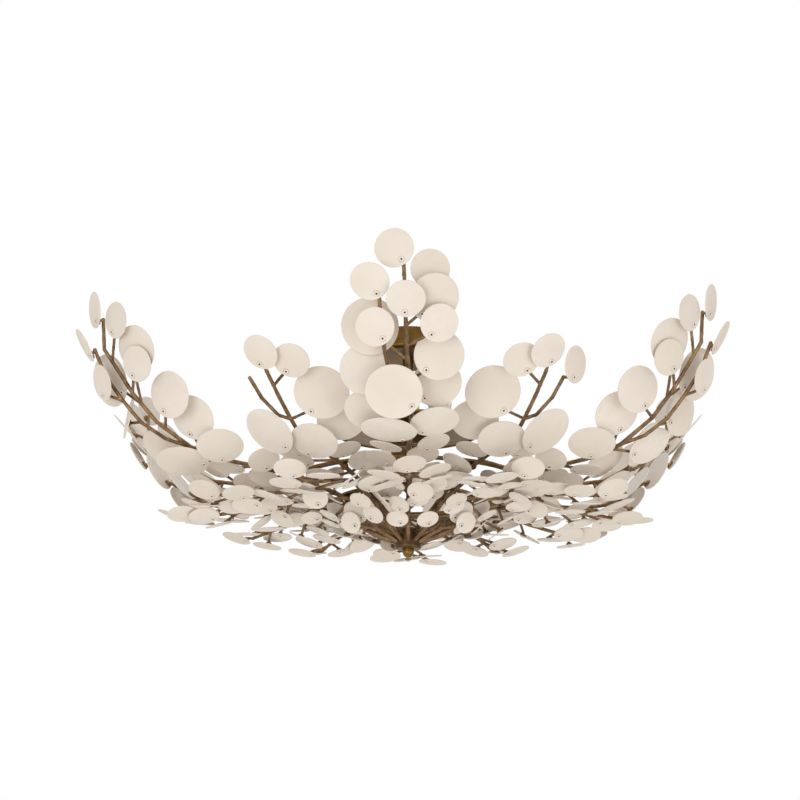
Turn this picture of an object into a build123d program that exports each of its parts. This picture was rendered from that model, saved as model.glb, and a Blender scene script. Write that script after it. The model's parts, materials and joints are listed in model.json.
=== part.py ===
from build123d import *
import copy
import itertools
import math
import os

import numpy as np

# Flush mount ceiling light: an open bowl of bronze branches carrying round enamelled discs.
# Millimetres, +Z up. The origin is the centre of the ceiling plane, and the bowl hangs below it.

# Ceiling plate, canopy and its fasteners
BRACKET_LENGTH = 122.0
BRACKET_WIDTH = 22.0
BRACKET_THICK = 2.5
SLOT_SPACING = 82.0
SLOT_LENGTH = 14.0
SLOT_WIDTH = 5.0
CANOPY_R = 70.0
CANOPY_DEPTH = 34.0
CANOPY_WALL = 1.2
CANOPY_EDGE_R = 6.0
STUD_R = 2.0
STUD_OFFSET = 56.0
CAP_NUT_R = 6.0
CAP_NUT_H = 9.0
LOCK_NUT_H = 4.0
GROUND_SCREW_OFFSET = 26.0
GROUND_SCREW_HEAD_R = 3.6
LEAD_R = 1.1
LEAD_DEPTH = 18.0
WIRE_NUT_R = 4.5
WIRE_NUT_LENGTH = 18.0

# Hanging tube, sleeve, lamp tray and lamps
TUBE_R = 5.0
TUBE_BORE_R = 3.6
SLEEVE_R = 9.0
TRAY_DROP = 151.0
TRAY_R = 120.0
TRAY_THICK = 2.5
TRAY_BEAD_R = 2.6
LAMP_COUNT = 6
LAMP_CIRCLE_R = 60.0
SOCKET_R = 13.0
SOCKET_H = 30.0
SOCKET_WALL = 4.0
SOCKET_FLOOR = 4.0
BULB_BASE_R = 6.0
BULB_BASE_H = 19.0
BULB_NECK_H = 9.0
BULB_R = 20.0

# Column, tie rod and hub
COLUMN_R = 27.0
COLUMN_LENGTH = 60.0
COLUMN_WALL = 2.0
COUPLER_R = 9.0
COUPLER_LENGTH = 26.0
TIE_ROD_R = 3.2
HUB_DROP = 330.0
HUB_R = 21.0
HUB_ABOVE = 17.0
HUB_BELOW = 15.0
HUB_EDGE_R = 4.0
SOCKET_DEPTH = 7.0
FINIAL_R = 9.0
FINIAL_H = 13.0

# Hoops: flat straps lying on the trunks, and where the trunks cross them above the hub
UPPER_HOOP_R = 192.0
UPPER_HOOP_RISE = 78.0
LOWER_HOOP_R = 109.0
LOWER_HOOP_RISE = 54.0
HOOP_WIDTH = 12.0
HOOP_THICK = 3.5
HOOP_KNOT_R = 5.4

# Trunks: each step is outwards, up and sideways from the last knot
TALL_TRUNK_R = 3.1
TALL_TIP_R = 2.0
MID_TRUNK_R = 3.1
MID_TIP_R = 2.0
LOW_TRUNK_R = 3.0
LOW_TIP_R = 1.9
LOW_TIER_DROP = 12.0
LOW_UNDER_HOOP = 10.0
FIRST_KNOT = (82.0, 38.0)
LOW_FIRST_KNOT = (60.0, 14.0)
TALL_STEPS = [(76, 7, 1), (62, 3, 2), (49, 11, 0), (56, 31, -3), (39, 39, -4), (47, 60, -2), (3, 46, -2)]
MID_STEPS = [(57, 10, -2), (61, 8, -2), (34, 18, 2), (38, 24, 2), (38, 27, 2)]
LOW_STEPS = [(75, 14, 3), (48, -8, -5), (54, -9, 4), (44, -7, -3)]
LOW_REACH = (0.9, 0.9, 0.95, 1.0, 0.97, 0.82, 0.95, 0.82, 0.84, 1.04, 0.95, 0.9)
BRANCH_PITCH = 30.0
TALL_TURN = -90.0
MID_TURN = -60.0
SIDE_TALL = (1, 5)
SIDE_TWIST = 27.0
MID_TWIST = 8.0
SIDE_SPREAD = 1.05
SIDE_LEAN = 9.0
SIDE_LEAN_FULL = 30.0
SWAY_RUN = 300.0
TWIST_RUN = 90.0
TALL_SWAY = (0.0, 6.0, 0.0, 0.0, 0.0, 1.5)
MID_SWAY = (3.0, 0.0, 0.0, 0.0, 0.0, 1.5)

# Discs, the pads behind them and their screws
SMALL_DISC_R = 27.0
MEDIUM_DISC_R = 35.0
LARGE_DISC_R = 40.0
LOW_DISC_R = 24.0
INNER_DISC_R = 20.0
DISC_THICK = 1.5
DISC_DISH_R = 230.0
SCREW_INSET = 8.0
SCREW_SHANK_R = 1.25
SCREW_HEAD_R = 4.3
SCREW_HEAD_H = 1.2
SCREW_SOCKET_R = 1.1
SCREW_SOCKET_DEPTH = 0.7
PAD_LONG = 12.0
PAD_SHORT = 9.0
PAD_THICK = 2.5
PAD_FLOOR = 0.9
FORK_SHARE = 0.85
TWIG_R = 1.5
TWIG_SINK = 0.6
TWIG_BACK = 26.0
TWIG_LEAN = 0.8
TWIG_SHIFT = 18.0
FIRST_TWIG = 20.0
OWN_SPAN = 4.0
KNOT_SWELL = 1.28
KNOT_MOST = 7.8
KNOT_MERGE = 16.0
HOOP_CLEAR = 15.0

# Clearances
SEAT = 0.05
RUNNING = 0.3
HOLE_SLACK = 0.2
SOCKET_SLACK = 0.12
AIR = 1.0
LEAST_AIR = 0.3

TRAY_Z = -TRAY_DROP
HUB_Z = -HUB_DROP
UP = np.array([0.0, 0.0, 1.0])


def unit(v):
    v = np.asarray(v, float)
    return v / np.linalg.norm(v)


def across(direction, hint):
    """The part of hint that is square to direction, as a unit vector."""
    return unit(hint - direction * np.dot(hint, direction))


def located(solid, origin, x_dir, z_dir):
    plane = Plane(origin=tuple(origin), x_dir=tuple(x_dir), z_dir=tuple(z_dir))
    return solid.moved(plane.location)


def any_across(direction):
    return across(direction, UP if abs(direction[2]) < 0.9 else np.array([1.0, 0.0, 0.0]))


def turned(profile):
    """A solid of revolution about Z from (radius, height) corners."""
    wire = Wire.make_polygon([(r, 0, z) for r, z in profile], close=True)
    return Solid.revolve(Face(wire), 360, Axis.Z)


def turned_edges(edges):
    return Solid.revolve(Face(Wire(edges)), 360, Axis.Z)


def tube(outer_r, inner_r, bottom, top):
    return turned([(inner_r, bottom), (outer_r, bottom), (outer_r, top), (inner_r, top)])


def plug(radius, bottom, top):
    return turned([(0, bottom), (radius, bottom), (radius, top), (0, top)])


def hex_nut(across_flats_r, bore_r, bottom, height):
    nut = extrude(RegularPolygon(across_flats_r, 6, major_radius=False), height)
    return (nut - Cylinder(bore_r, 3 * height)).solid().moved(Location((0, 0, bottom)))


# Places kept by the pieces so far, each a flat disc or a straight rod with a margin around it
class Kept:
    def __init__(self):
        self.discs = []
        self.rods = []

    def add_disc(self, centre, normal, radius, margin):
        self.discs.append((np.array(centre, float), unit(normal), radius, margin))

    def add_rod(self, start, end, margin):
        self.rods.append((np.array(start, float), np.array(end, float), margin))

    def freeze(self):
        self.disc_table = [np.array([d[k] for d in self.discs]) for k in range(4)]
        self.rod_table = [np.array([r[k] for r in self.rods]) for k in range(3)]


def onto_disc(points, centre, normal, radius):
    lifted = points - centre
    flat = lifted - normal * np.sum(lifted * normal, axis=-1, keepdims=True)
    size = np.linalg.norm(flat, axis=-1, keepdims=True)
    radius = np.reshape(radius, (-1, 1))
    return centre + flat * np.minimum(1.0, radius / np.maximum(size, 1e-9))


def onto_rod(points, start, end):
    run = end - start
    share = np.sum((points - start) * run, axis=-1) / np.maximum(np.sum(run * run, axis=-1), 1e-9)
    return start + run * np.clip(share, 0, 1)[..., None]


def room(kept, piece, skip=()):
    """The least space between a new piece and everything kept, walking to and fro between each pair."""
    kind, first, second, radius, margin = piece
    middle = first if kind == "disc" else (first + second) / 2
    reach = radius + margin if kind == "disc" else np.linalg.norm(second - first) / 2 + margin
    least = 99.0

    def back(points):
        if kind == "disc":
            return onto_disc(points, first, second, radius)
        return onto_rod(points, first, second)

    centres, normals, radii, margins = kept.disc_table
    if len(centres):
        near = np.linalg.norm(centres - middle, axis=1) < reach + radii + margins + 2 * AIR
        if near.any():
            c, n, r, m = centres[near], normals[near], radii[near], margins[near]
            here = np.repeat(middle[None, :], len(c), axis=0)
            for _ in range(14):
                there = onto_disc(here, c, n, r)
                here = back(there)
            least = min(least, float(np.min(np.linalg.norm(here - there, axis=1) - m - margin)))
    starts, ends, margins = kept.rod_table
    if len(starts):
        halves = np.linalg.norm(ends - starts, axis=1) / 2
        near = np.linalg.norm((starts + ends) / 2 - middle, axis=1) < reach + halves + margins + 2 * AIR
        for k in skip:
            near[k] = False
        if near.any():
            s, e, m = starts[near], ends[near], margins[near]
            here = np.repeat(middle[None, :], len(s), axis=0)
            for _ in range(14):
                there = onto_rod(here, s, e)
                here = back(there)
            least = min(least, float(np.min(np.linalg.norm(here - there, axis=1) - m - margin)))
    return least


# Branches
class Branch:
    """A trunk as a chain of knots, and the rows of discs that it carries."""

    def __init__(self, name, azimuth, line, radii, twist=0.0, sway=0.0, spread=1.0, lean=0.0):
        self.name = name
        self.azimuth = azimuth
        self.twist = twist
        mirror = mirror_of(azimuth)
        self.knots = []
        for rho, rise, aside in line:
            share = min(max((rho - UPPER_HOOP_R) / SWAY_RUN, 0.0), 1.0)
            radial, side = ways(azimuth + mirror * sway * share)
            self.knots.append(radial * rho + side * mirror * aside + UP * (HUB_Z + rise))
        self.spread = spread
        self.lean = lean
        self.forced = {}
        self.root_r, self.tip_r = radii
        self.twigs = []
        self.fork = None
        self.parent = None
        self.measure()

    def measure(self):
        runs = [np.linalg.norm(b - a) for a, b in zip(self.knots, self.knots[1:])]
        self.marks = np.concatenate([[0.0], np.cumsum(runs)])
        self.length = float(self.marks[-1])

    def at(self, mark):
        """Point and direction along the trunk at a distance from the hub."""
        k = int(np.clip(np.searchsorted(self.marks, mark) - 1, 0, len(self.knots) - 2))
        along = unit(self.knots[k + 1] - self.knots[k])
        return self.knots[k] + along * (mark - self.marks[k]), along

    def faced(self, mark, along):
        """The ways outwards and sideways for a disc, twisted round the trunk away from its tip."""
        share = min(max((self.length - mark) / TWIST_RUN, 0.0), 1.0)
        mirror = mirror_of(self.azimuth)
        radial, side = ways(self.azimuth + mirror * self.twist * share)
        return across(along, radial - UP), side * mirror

    def grow_fork(self, line, rows):
        """A side branch from a knot of this one, along points given from its tip."""
        points = []
        for inwards, aside, outwards in line:
            point, along = self.at(self.length - inwards)
            out, side = self.faced(self.length - inwards, along)
            lean = self.lean * min(-aside / SIDE_LEAN_FULL, 1.0)
            points.append(point + side * (self.spread * aside + lean) + out * outwards)
        start = self.split(self.length - line[0][0])
        points[0] = self.knots[start]
        fork = copy.copy(self)
        fork.name = self.name + "_fork"
        fork.knots = points
        fork.root_r = FORK_SHARE * self.radius_at(self.marks[start])
        fork.twigs = []
        fork.forced = {}
        fork.parent = self
        fork.rows = rows
        fork.measure()
        self.fork = fork
        self.fork_knot = start

    def radius_at(self, mark):
        share = min(max(mark / self.length, 0.0), 1.0)
        return self.root_r + (self.tip_r - self.root_r) * share

    def near_knot(self, mark):
        """Where something may start near this distance: at a knot there, or clear of the hoops' knots."""
        for k in self.forced:
            gap = mark - self.marks[k]
            if abs(gap) < HOOP_CLEAR:
                mark = self.marks[k] + math.copysign(HOOP_CLEAR, gap)
        free = [k for k in range(1, len(self.knots)) if k not in self.forced]
        k = min(free, key=lambda k: abs(self.marks[k] - mark))
        near = abs(self.marks[k] - mark) <= KNOT_MERGE
        return (float(self.marks[k]), k) if near else (mark, 0)

    def split(self, mark):
        """The knot at this distance, added to the trunk where none is near."""
        mark, k = self.near_knot(mark)
        if k:
            return k
        k = int(np.searchsorted(self.marks, mark))
        point, _ = self.at(mark)
        self.knots.insert(k, point)
        self.twigs = [(n + 1 if n >= k else n, *rest) for n, *rest in self.twigs]
        self.forced = {n + 1 if n >= k else n: r for n, r in self.forced.items()}
        if self.fork and k <= self.fork_knot:
            self.fork_knot += 1
        self.measure()
        return k


def ways(azimuth):
    """Outwards and sideways at an azimuth."""
    turn = math.radians(azimuth)
    return np.array([math.cos(turn), math.sin(turn), 0.0]), np.array([-math.sin(turn), math.cos(turn), 0.0])


def trunk_line(steps):
    line = [(0.0, 0.0, 0.0), (*FIRST_KNOT, 0.0), (LOWER_HOOP_R, LOWER_HOOP_RISE, 0.0)]
    line.append((UPPER_HOOP_R, UPPER_HOOP_RISE, 0.0))
    for out, up, aside in steps:
        rho, rise, before = line[-1]
        line.append((rho + out, rise + up, before + aside))
    return line


def low_line(reach):
    line = [(0.0, -LOW_TIER_DROP, 0.0), (*LOW_FIRST_KNOT, 0.0)]
    line.append((LOWER_HOOP_R, LOWER_HOOP_RISE - LOW_UNDER_HOOP, 0.0))
    for out, up, aside in LOW_STEPS:
        rho, rise, before = line[-1]
        line.append((rho + reach * out, rise + up, before + aside))
    return line


def mirror_of(azimuth):
    """Branches right of the middle are mirror images of those on the left."""
    return -1.0 if math.cos(math.radians(azimuth)) > 0.01 else 1.0


# Side branches: each point is a distance in from the trunk's tip, sideways and outwards
TALL_FORK = [(226, 0, 0), (208, -15, 8), (170, -25, 7), (130, -30, 4), (88, -34, 1), (40, -35, -2)]
MID_FORK = [(92, 0, 0), (78, -13, 4), (44, -26, 2), (8, -33, -2)]

# Rows of discs: distance in from the trunk's tip, sideways, outwards, radius, turn to the side, tilt
TALL_ROWS = [
    (-15, -12, 8, SMALL_DISC_R, -4, -6),
    (12, 30, 0, SMALL_DISC_R, 8, -8),
    (50, 1, 13, SMALL_DISC_R, 0, -3),
    (60, 40, -8, MEDIUM_DISC_R, 6, 12),
    (77, 38, 8, SMALL_DISC_R, 6, 16),
    (100, -50, -10, LARGE_DISC_R, -8, 14),
    (137, 44, -3, MEDIUM_DISC_R, 8, 22),
    (178, -22, 14, LARGE_DISC_R, -4, 24),
    (191, 38, -12, MEDIUM_DISC_R, 8, 24),
    (238, -60, -4, MEDIUM_DISC_R, -10, 8),
    (247, 33, 9, MEDIUM_DISC_R, 8, 6),
    (256, -32, 14, LARGE_DISC_R, -6, -4),
    (322, 34, 8, LOW_DISC_R, 16, 10),
    (335, -35, 10, LOW_DISC_R, -12, -4),
    (372, 20, 10, LOW_DISC_R, 6, 12),
    (398, -42, 7, LOW_DISC_R, -12, 8),
    (428, 28, 9, INNER_DISC_R, 16, -8),
    (446, -8, 12, INNER_DISC_R, -8, 6),
    (486, -20, 9, INNER_DISC_R, -14, 10),
]
TALL_FORK_ROWS = [
    (-12, -12, 5, SMALL_DISC_R, -8, -8),
    (48, -8, 9, SMALL_DISC_R, -6, 16),
    (122, -24, -18, MEDIUM_DISC_R, -8, 22),
]
MID_ROWS = [
    (-34, 4, 0, SMALL_DISC_R, -4, 12),
    (-8, 43, -4, SMALL_DISC_R, 8, 10),
    (54, 64, -6, LARGE_DISC_R, 14, 20),
    (104, -34, 4, LARGE_DISC_R, -10, 12),
    (128, 24, 14, MEDIUM_DISC_R, 8, 4),
    (118, 66, -12, MEDIUM_DISC_R, 16, 8),
    (160, -40, 5, SMALL_DISC_R, -14, 8),
    (186, 38, 4, LOW_DISC_R, 12, -4),
    (206, -50, 3, LOW_DISC_R, -12, 4),
    (226, 46, 6, LOW_DISC_R, 10, 8),
    (246, -36, 7, LOW_DISC_R, -8, 2),
    (270, 34, 4, INNER_DISC_R, 8, -4),
    (292, -34, 5, INNER_DISC_R, -10, 6),
    (322, 30, 6, INNER_DISC_R, 6, 6),
    (350, -29, 6, INNER_DISC_R, -8, 2),
]
MID_FORK_ROWS = [
    (-10, 4, -8, SMALL_DISC_R, -14, 14),
]
LOW_INNER_FROM = 8
LOW_INNER_STOP = 155.0
LOW_FIRST_IN = -32.0
LOW_SPACING = 19.5
LOW_NARROWING = 0.02
OPEN_FROM = 200.0
OPEN_ASIDE = 38.0
OPEN_OUT = 4.0
ACROSS_OUT = 12.0
LOW_ASIDE = (34, -36, 40, -33, 36, -42, 33, -38, 42, -35, 38, -40)
LOW_OUT = (4, 6, 2, 3, 7, 2, 5, 3, 2, 6, 4, 3)
LOW_TURN = (4, -14, 12, -6, 10, 16, -12, 6, -16, -6, 12, -10)
LOW_TILT = (8, 0, 12, -6, 6, -3, 10, 4, -8, 12, -4, 8)
LOW_TIP_LIFT = 16.0
LOW_TIP_ASIDE = 5.0
HUB_ROWS = ((96, 12, 11, 4, -6), (126, -14, 12, -6, 4), (150, 15, 10, 8, 0))
HUB_DISC_R = 17.0


def low_rows(step, length):
    """The low branches share one rhythm, begun at a different place on each."""
    rows = []
    for k in range(int((length - LOW_INNER_STOP - LOW_FIRST_IN) / LOW_SPACING) + 1):
        m = (k + 5 * step) % len(LOW_ASIDE)
        inwards = LOW_FIRST_IN + LOW_SPACING * k
        aside = LOW_ASIDE[m] * (1 - LOW_NARROWING * k) if k else LOW_TIP_ASIDE
        radius = LOW_DISC_R if k < LOW_INNER_FROM else INNER_DISC_R
        lift = LOW_TIP_LIFT / (1 + 2 * k)
        rows.append((inwards, aside, LOW_OUT[m] - lift, radius, LOW_TURN[m], LOW_TILT[m] + lift))
    way = 1 if step % 2 else -1
    for mark, aside, outwards, turn, tilt in HUB_ROWS:
        rows.append((length - mark, way * aside, outwards, HUB_DISC_R, way * turn, tilt))
    return rows


def opened(rows):
    """Rows for a side branch, whose trunk shows from below: none of its discs lies across the trunk."""
    kept = []
    for inwards, aside, outwards, radius, turn, tilt in rows:
        if inwards > OPEN_FROM:
            aside = math.copysign(max(abs(aside), OPEN_ASIDE), aside)
            outwards = min(outwards, OPEN_OUT)
        if inwards > OPEN_FROM or outwards < ACROSS_OUT:
            kept.append((inwards, aside, outwards, radius, turn, tilt))
    return kept


# Small changes tried in turn until a disc stands clear: inwards, sideways, outwards, turn, tilt
NUDGES = [(0, 0, 0, 0, 0)]
for stretch in (1, 2, 3):
    for shift in [
        (0, 0, 4, 0, 0), (0, 0, -3, 0, 0), (0, 6, 0, 0, 0), (7, 0, 0, 0, 0), (-7, 0, 0, 0, 0),
        (0, 0, 0, 9, 0), (0, 0, 0, 0, 9), (0, 0, 0, 0, -9), (0, 0, 0, -9, 0),
        (0, 5, 4, 7, 0), (6, 5, 4, 0, 7), (-6, 5, 4, 0, -7), (6, 0, 5, 8, 8), (-6, 0, 5, 8, -8),
        (0, 8, -3, 10, 8), (8, 8, 3, 10, -8), (-8, -5, 6, -6, 8),
    ]:
        NUDGES.append(tuple(stretch * value for value in shift))


def disc_sag(radius):
    return radius * radius / (2 * DISC_DISH_R)


def disc_frame(branch, row, nudge):
    """Centre, facing, way to the screw, screw place and its axis for one disc."""
    inwards, aside, outwards, radius, turn, tilt = row
    way = 1.0 if aside >= 0 else -1.0
    mark = branch.length - inwards - nudge[0]
    aside = branch.spread * aside + branch.lean + way * nudge[1]
    outwards = outwards + nudge[2]
    turn = math.radians(turn + way * nudge[3])
    tilt = math.radians(tilt + nudge[4])
    point, along = branch.at(mark)
    out, side = branch.faced(mark, along)
    centre = point + side * aside + out * (outwards + disc_sag(radius))
    facing = out * math.cos(turn) + side * math.sin(turn)
    facing = unit(facing * math.cos(tilt) + along * math.sin(tilt))
    target, _ = branch.at(mark - 0.9 * abs(aside) - 8.0)
    to_screw = across(facing, target - centre)
    lean = (radius - SCREW_INSET) / DISC_DISH_R
    bowl_centre = centre - facing * DISC_DISH_R
    axis = unit(facing * math.cos(lean) + to_screw * math.sin(lean))
    screw = bowl_centre + axis * DISC_DISH_R
    return centre, facing, to_screw, radius, screw, axis, mark


def twig_end(screw, axis, start):
    """Where the twig's centre line meets the back of the pad."""
    back = screw - axis * (DISC_THICK + 3 * SEAT + PAD_THICK)
    slant = unit(back - start)
    rim_rise = TWIG_R * math.sqrt(max(0.0, 1 - np.dot(slant, axis) ** 2))
    return back - axis * (rim_rise - TWIG_SINK)


def disc_pieces(centre, facing, to_screw, radius, screw, axis, start):
    """The flat discs and the rod that stand for one disc, its screw, its pad and its twig."""
    sag = disc_sag(radius)
    middle = centre - facing * (sag + DISC_THICK) / 2
    head = screw + axis * SCREW_HEAD_H / 2
    pad = screw - axis * (DISC_THICK + PAD_THICK / 2)
    end = twig_end(screw, axis, start)
    return [
        ("disc", middle, facing, radius - sag / 2, (sag + DISC_THICK) / 2),
        ("disc", head, axis, SCREW_HEAD_R - 0.6, SCREW_HEAD_H / 2),
        ("disc", pad, axis, PAD_LONG / 2 - 1.2, PAD_THICK / 2),
        ("rod", start, end, 0.0, TWIG_R),
    ]


def root_mark(branch, mark, screw, back):
    """How far along the trunk the twig starts, so that it leaves at a good angle."""
    marks = np.linspace(max(mark - 70.0, 30.0), min(mark + 30.0, branch.length), 60)
    places = [branch.at(m)[0] for m in marks]
    gaps = [np.linalg.norm(screw - p) for p in places]
    k = int(np.argmin(gaps))
    return float(np.clip(marks[k] - min(TWIG_BACK, TWIG_LEAN * gaps[k]) - back, FIRST_TWIG, branch.length))


def near_rods(kept, point, reach):
    starts, ends, margins = kept.rod_table
    gap = np.linalg.norm(onto_rod(np.repeat(point[None, :], len(starts), axis=0), starts, ends) - point, axis=1)
    return np.nonzero(gap < reach)[0]


def spread_ball(size, most, lines):
    """The least ball, up to most, round enough that the rods of each pair leave it clear of each other."""
    for (way_a, r_a), (way_b, r_b) in lines:
        angle = math.acos(float(np.clip(np.dot(way_a, way_b), -1, 1)))
        while size < most and math.asin(min(1, r_a / size)) + math.asin(min(1, r_b / size)) > angle - 0.02:
            size += 0.1
    return size


def knot_ways(branch, k):
    """Where the trunk's rods, a side branch and the twigs leave a knot."""
    here = branch.knots[k]
    trunk_r = branch.radius_at(branch.marks[k])
    ways = [(unit(branch.knots[k - 1] - here), trunk_r)]
    if k + 1 < len(branch.knots):
        ways.append((unit(branch.knots[k + 1] - here), trunk_r))
    if branch.fork and k == branch.fork_knot:
        ways.append((unit(branch.fork.knots[1] - here), branch.fork.root_r))
    ways += [(unit(twig_end(t[5], t[6], here) - here), TWIG_R) for t in branch.twigs if t[0] == k]
    return ways


def fork_ball(branch, k):
    """A knot's radius: a hoop's seat, or round enough that whatever starts there starts clear."""
    if k in branch.forced:
        return branch.forced[k]
    trunk_r = branch.radius_at(branch.marks[k])
    pairs = list(itertools.combinations(knot_ways(branch, k), 2))
    return spread_ball(KNOT_SWELL * trunk_r, KNOT_MOST, pairs)


def twig_ball(branch, k, mark, start, twig_to):
    """The radius of a knot where one more twig starts, at knot k or at a new one."""
    trunk_r = branch.radius_at(mark)
    if k:
        ways = knot_ways(branch, k)
        size = fork_ball(branch, k)
    else:
        _, along = branch.at(mark)
        ways = [(along, trunk_r), (-along, trunk_r)]
        size = KNOT_SWELL * trunk_r
    twig = (unit(twig_to - start), TWIG_R)
    return spread_ball(size, KNOT_MOST, [(twig, way) for way in ways])


def hang_disc(branch, row, kept):
    """Finds a clear place for one disc and keeps it, or leaves the disc out where there is none."""
    best = None
    for nudge, back in itertools.product(NUDGES, (0.0, TWIG_SHIFT)):
        centre, facing, to_screw, radius, screw, axis, mark = disc_frame(branch, row, nudge)
        start_mark, k = branch.near_knot(root_mark(branch, mark, screw, back))
        start = branch.at(start_mark)[0]
        pieces = disc_pieces(centre, facing, to_screw, radius, screw, axis, start)
        worst = room(kept, pieces[0])
        if worst > AIR or best is None or worst > best[0]:
            twig = pieces[3]
            size = twig_ball(branch, k, start_mark, start, twig[2])
            ours = near_rods(kept, start, 0.2)
            clear = start + unit(twig[2] - start) * size
            own = Kept()
            own.add_disc(*pieces[0][1:])
            own.freeze()
            short = twig[2] - unit(twig[2] - start) * OWN_SPAN
            worst = min(
                worst, room(kept, pieces[1]), room(kept, pieces[2]),
                room(kept, ("rod", clear, twig[2], 0.0, TWIG_R), ours),
                room(kept, ("rod", start, start, 0.0, size), ours),
                room(own, ("rod", start, short, 0.0, TWIG_R)),
                room(own, ("rod", start, start, 0.0, size)),
                KNOT_MOST - size,
            )
        if best is None or worst > best[0]:
            best = (worst, start_mark, pieces, (centre, facing, to_screw, radius, screw, axis), size)
        if worst > AIR:
            break
    worst, start_mark, pieces, frame, size = best
    if worst < LEAST_AIR:
        return
    knot = branch.split(start_mark)
    branch.twigs.append((knot, *frame))
    kept.add_rod(branch.knots[knot], branch.knots[knot], size)
    for kind, first, second, radius, margin in pieces:
        if kind == "disc":
            kept.add_disc(first, second, radius, margin)
        else:
            kept.add_rod(first, second, margin)
    kept.freeze()


# Solids of the branches
def ball(centre, radius):
    return Solid.make_sphere(radius).moved(Location(tuple(centre)))


def recessed(radius, ball_r, length, at_end):
    """How far along its line a rod's rim and middle start, where it seats on a ball."""
    rim = math.sqrt(max(ball_r**2 - radius**2, 0.0))
    return (length - rim, length - ball_r) if at_end else (rim, ball_r)


def rod(start, end, start_r, end_r, start_ball, end_ball):
    """A tapered rod between two points, hollowed at each end to seat on the ball there."""
    length = float(np.linalg.norm(end - start))
    low_rim, low_mid = recessed(start_r, start_ball + SEAT, length, False) if start_ball else (0.0, 0.0)
    top_rim, top_mid = recessed(end_r, end_ball + SEAT, length, True) if end_ball else (length, length)
    edges = []
    if start_ball:
        half = math.asin(start_r / (start_ball + SEAT)) / 2
        bend = ((start_ball + SEAT) * math.sin(half), 0, (start_ball + SEAT) * math.cos(half))
        edges.append(Edge.make_three_point_arc((0, 0, low_mid), bend, (start_r, 0, low_rim)))
    else:
        edges.append(Edge.make_line((0, 0, low_mid), (start_r, 0, low_rim)))
    edges.append(Edge.make_line((start_r, 0, low_rim), (end_r, 0, top_rim)))
    if end_ball:
        half = math.asin(end_r / (end_ball + SEAT)) / 2
        bend = ((end_ball + SEAT) * math.sin(half), 0, length - (end_ball + SEAT) * math.cos(half))
        edges.append(Edge.make_three_point_arc((end_r, 0, top_rim), bend, (0, 0, top_mid)))
    else:
        edges.append(Edge.make_line((end_r, 0, top_rim), (0, 0, top_mid)))
    edges.append(Edge.make_line((0, 0, top_mid), (0, 0, low_mid)))
    along = unit(end - start)
    return located(turned_edges(edges), start, any_across(along), along)


DISC_SOLIDS = {}


def disc_solid(radius):
    """A shallow dished disc, its outer face's middle at the origin, drilled on the +X side."""
    if radius not in DISC_SOLIDS:
        outer, inner = DISC_DISH_R, DISC_DISH_R - DISC_THICK
        reach = math.asin(radius / outer)

        def on(r, a):
            return (r * math.sin(a), 0, r * math.cos(a) - DISC_DISH_R)

        edges = [
            Edge.make_three_point_arc(on(outer, 0), on(outer, reach / 2), on(outer, reach)),
            Edge.make_line(on(outer, reach), on(inner, reach)),
            Edge.make_three_point_arc(on(inner, reach), on(inner, reach / 2), on(inner, 0)),
            Edge.make_line(on(inner, 0), on(outer, 0)),
        ]
        blank = turned_edges(edges)
        lean = (radius - SCREW_INSET) / DISC_DISH_R
        drill = Solid.make_cylinder(SCREW_SHANK_R + HOLE_SLACK, 6 * DISC_THICK).moved(Location((0, 0, -3 * DISC_THICK)))
        place = on(outer, lean)
        drill = located(drill, place, (math.cos(lean), 0, -math.sin(lean)), (math.sin(lean), 0, math.cos(lean)))
        DISC_SOLIDS[radius] = (Part(blank.wrapped) - Part(drill.wrapped)).solid()
    return DISC_SOLIDS[radius]


def screw_solid():
    """A low round screw with a small hollow in its head, its head's seat at the origin."""
    tip = PAD_FLOOR + SEAT - DISC_THICK - PAD_THICK
    edge_h = 0.5 * SCREW_HEAD_H
    return turned([
        (0, tip), (SCREW_SHANK_R, tip), (SCREW_SHANK_R, SEAT), (SCREW_HEAD_R, SEAT), (SCREW_HEAD_R, edge_h),
        (0.75 * SCREW_HEAD_R, SCREW_HEAD_H), (SCREW_SOCKET_R, SCREW_HEAD_H),
        (SCREW_SOCKET_R, SCREW_HEAD_H - SCREW_SOCKET_DEPTH), (0, SCREW_HEAD_H - SCREW_SOCKET_DEPTH),
    ])


def pad_solid():
    """An oval pad lying under a disc, drilled for the screw, with the screw's seat at the origin."""
    face = Face(Wire(Edge.make_ellipse(PAD_LONG / 2, PAD_SHORT / 2)))
    top = -(DISC_THICK + 3 * SEAT)
    pad = Solid.extrude(face, Vector(0, 0, -PAD_THICK)).moved(Location((0, 0, top)))
    drill = Solid.make_cylinder(SCREW_SHANK_R + 2 * SEAT, 2 * DISC_THICK + PAD_THICK)
    drill = drill.moved(Location((0, 0, top - PAD_THICK + PAD_FLOOR)))
    return (Part(pad.wrapped) - Part(drill.wrapped)).solid()


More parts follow.
